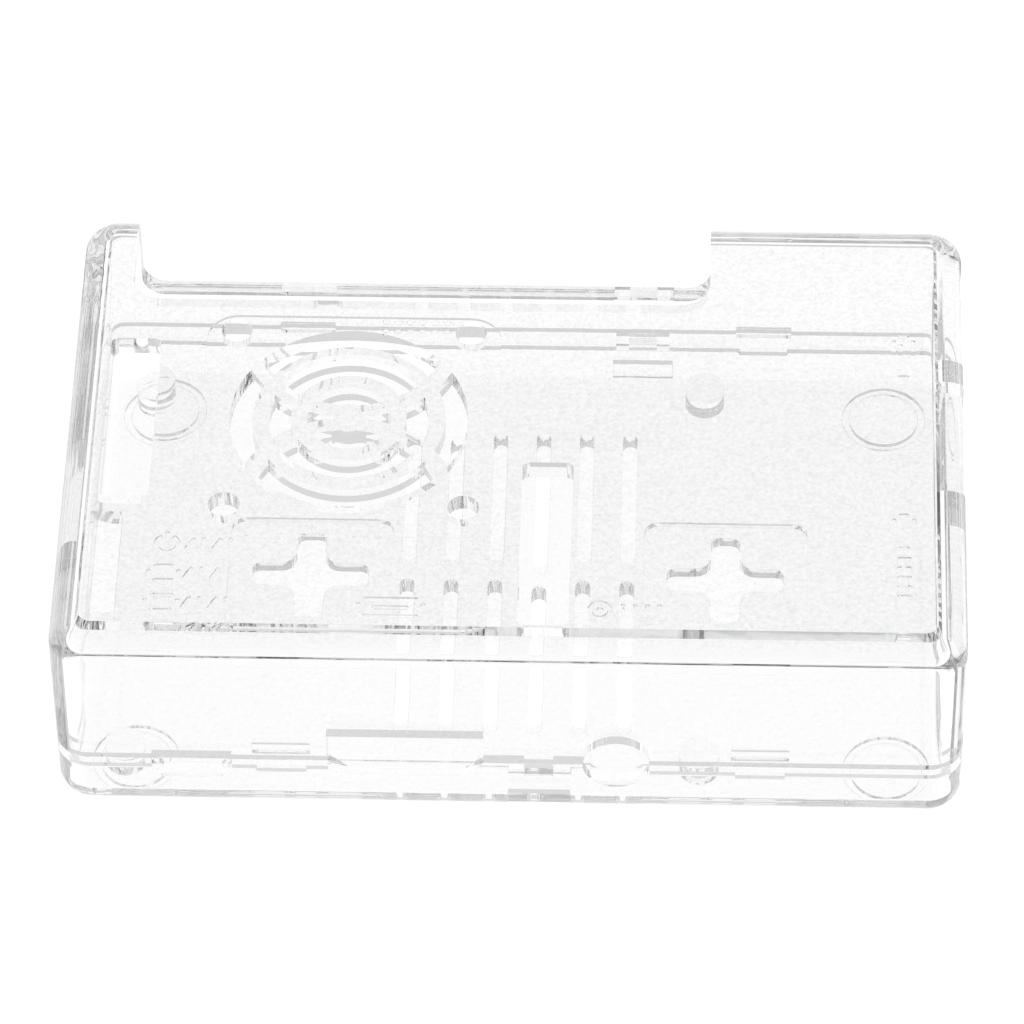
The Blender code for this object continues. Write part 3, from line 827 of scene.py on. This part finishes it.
def clear_plastic(name, grain_clarity):
    """Water-clear moulded plastic, faintly wavy, with a fine grain on its level faces."""
    material = bpy.data.materials.new(name)
    material.use_nodes = True
    tree = material.node_tree
    shader = tree.nodes["Principled BSDF"]
    shader.inputs["Metallic"].default_value = 0.0
    shader.inputs["IOR"].default_value = PLASTIC_IOR
    shader.inputs["Transmission Weight"].default_value = 1.0

    place = tree.nodes.new("ShaderNodeTexCoord")

    grain = tree.nodes.new("ShaderNodeTexNoise")
    grain.inputs["Scale"].default_value = GRAIN_SCALE
    grain.inputs["Detail"].default_value = GRAIN_DETAIL
    grain.inputs["Roughness"].default_value = GRAIN_ROUGHNESS
    tree.links.new(place.outputs["Object"], grain.inputs["Vector"])
    tint = tree.nodes.new("ShaderNodeValToRGB")
    tint.color_ramp.elements[0].position = GRAIN_RANGE[0]
    tint.color_ramp.elements[0].color = (grain_clarity, grain_clarity, grain_clarity, 1.0)
    tint.color_ramp.elements[1].position = GRAIN_RANGE[1]
    tint.color_ramp.elements[1].color = WHITE
    tree.links.new(grain.outputs["Fac"], tint.inputs["Fac"])

    surface = tree.nodes.new("ShaderNodeNewGeometry")
    split = tree.nodes.new("ShaderNodeSeparateXYZ")
    steepness = tree.nodes.new("ShaderNodeMath")
    steepness.operation = "ABSOLUTE"
    level = tree.nodes.new("ShaderNodeMapRange")
    level.inputs["From Min"].default_value = LEVEL_FACES[0]
    level.inputs["From Max"].default_value = LEVEL_FACES[1]
    tree.links.new(surface.outputs["True Normal"], split.inputs["Vector"])
    tree.links.new(split.outputs["Z"], steepness.inputs[0])
    tree.links.new(steepness.outputs["Value"], level.inputs["Value"])
    colour = tree.nodes.new("ShaderNodeMixRGB")
    colour.inputs["Color1"].default_value = WHITE
    tree.links.new(level.outputs["Result"], colour.inputs["Fac"])
    tree.links.new(tint.outputs["Color"], colour.inputs["Color2"])
    tree.links.new(colour.outputs["Color"], shader.inputs["Base Color"])

    smear = tree.nodes.new("ShaderNodeTexNoise")
    smear.inputs["Scale"].default_value = SMEAR_SCALE
    smear.inputs["Detail"].default_value = SMEAR_DETAIL
    tree.links.new(place.outputs["Object"], smear.inputs["Vector"])
    polish = tree.nodes.new("ShaderNodeMapRange")
    polish.inputs["From Min"].default_value = SMEAR_RANGE[0]
    polish.inputs["From Max"].default_value = SMEAR_RANGE[1]
    polish.inputs["To Min"].default_value = 0.0
    polish.inputs["To Max"].default_value = SMEAR_MOST
    tree.links.new(smear.outputs["Fac"], polish.inputs["Value"])
    tree.links.new(polish.outputs["Result"], shader.inputs["Roughness"])

    wave = tree.nodes.new("ShaderNodeTexNoise")
    wave.inputs["Scale"].default_value = WAVE_SCALE
    wave.inputs["Detail"].default_value = WAVE_DETAIL
    tree.links.new(place.outputs["Object"], wave.inputs["Vector"])
    bump = tree.nodes.new("ShaderNodeBump")
    bump.inputs["Strength"].default_value = WAVE_STRENGTH
    bump.inputs["Distance"].default_value = WAVE_HEIGHT
    tree.links.new(wave.outputs["Fac"], bump.inputs["Height"])
    tree.links.new(bump.outputs["Normal"], shader.inputs["Normal"])

    depth = tree.nodes.new("ShaderNodeVolumeAbsorption")
    depth.inputs["Color"].default_value = DIMMING_COLOUR
    depth.inputs["Density"].default_value = DIMMING_DENSITY
    tree.links.new(depth.outputs["Volume"], tree.nodes["Material Output"].inputs["Volume"])
    return material


def floor():
    """Large pale floor that glows evenly, as a light table does."""
    half = FLOOR_SIZE / 2
    corners = [(-half, -half, 0), (half, -half, 0), (half, half, 0), (-half, half, 0)]
    bm = bmesh.new()
    bm.faces.new([bm.verts.new(corner) for corner in corners])
    made = new_object("floor", bm)
    made.location.z = -FLOOR_DROP
    material = bpy.data.materials.new("floor_white")
    material.use_nodes = True
    shader = material.node_tree.nodes["Principled BSDF"]
    shader.inputs["Base Color"].default_value = FLOOR_COLOUR
    shader.inputs["Roughness"].default_value = 1.0
    shader.inputs["Specular IOR Level"].default_value = 0.0
    shader.inputs["Emission Color"].default_value = WHITE
    shader.inputs["Emission Strength"].default_value = FLOOR_GLOW - FLOOR_REFLECTED
    made.data.materials.append(material)


def sky():
    """Soft pale surroundings, a little brighter overhead; the camera itself sees plain white."""
    world = bpy.data.worlds.new("studio")
    bpy.context.scene.world = world
    world.use_nodes = True
    tree = world.node_tree
    tree.nodes.clear()
    place = tree.nodes.new("ShaderNodeTexCoord")
    split = tree.nodes.new("ShaderNodeSeparateXYZ")
    ramp = tree.nodes.new("ShaderNodeValToRGB")
    glow = tree.nodes.new("ShaderNodeBackground")
    out = tree.nodes.new("ShaderNodeOutputWorld")
    elements = ramp.color_ramp.elements
    for number, (position, level) in enumerate(SKY_LEVELS):
        element = elements[number] if number < 2 else elements.new(position)
        element.position = position
        element.color = (level, level, level, 1.0)
    tree.links.new(place.outputs["Generated"], split.inputs["Vector"])
    tree.links.new(split.outputs["Z"], ramp.inputs["Fac"])
    tree.links.new(ramp.outputs["Color"], glow.inputs["Color"])
    backdrop = tree.nodes.new("ShaderNodeBackground")
    backdrop.inputs["Color"].default_value = WHITE
    paths = tree.nodes.new("ShaderNodeLightPath")
    choice = tree.nodes.new("ShaderNodeMixShader")
    tree.links.new(paths.outputs["Is Camera Ray"], choice.inputs["Fac"])
    tree.links.new(glow.outputs["Background"], choice.inputs[1])
    tree.links.new(backdrop.outputs["Background"], choice.inputs[2])
    tree.links.new(choice.outputs["Shader"], out.inputs["Surface"])


def camera():
    """Camera at the photograph's viewing angle."""
    data = bpy.data.cameras.new("camera")
    data.sensor_width = CAMERA_SENSOR
    data.lens = CAMERA_LENS
    data.clip_start, data.clip_end = CAMERA_CLIP
    made = bpy.data.objects.new("camera", data)
    back = Vector(CAMERA_BACK).normalized()
    right = Vector(CAMERA_RIGHT).normalized()
    up = back.cross(right)
    turned = Matrix((right, up, back)).transposed().to_4x4()
    made.matrix_world = Matrix.Translation(CAMERA_PLACE) @ turned
    bpy.context.scene.collection.objects.link(made)
    bpy.context.scene.camera = made


def light_paths():
    """Let light cross many faces of the clear plastic, and show white as white."""
    scene = bpy.context.scene
    scene.cycles.max_bounces = LIGHT_BOUNCES
    scene.cycles.transmission_bounces = LIGHT_BOUNCES
    scene.cycles.glossy_bounces = LIGHT_BOUNCES
    scene.view_settings.view_transform = "Standard"


def main():
    """Build the looks."""
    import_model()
    camera()
    sky()
    floor()
    light_paths()
    cover = top_cover(clear_plastic("clear_plastic_cover", COVER_GRAIN))
    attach(cover, "lid")
    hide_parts("top_cover")
    tray = bottom_tray(clear_plastic("clear_plastic_tray", TRAY_GRAIN))
    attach(tray, "tray")
    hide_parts("bottom_tray")


main()
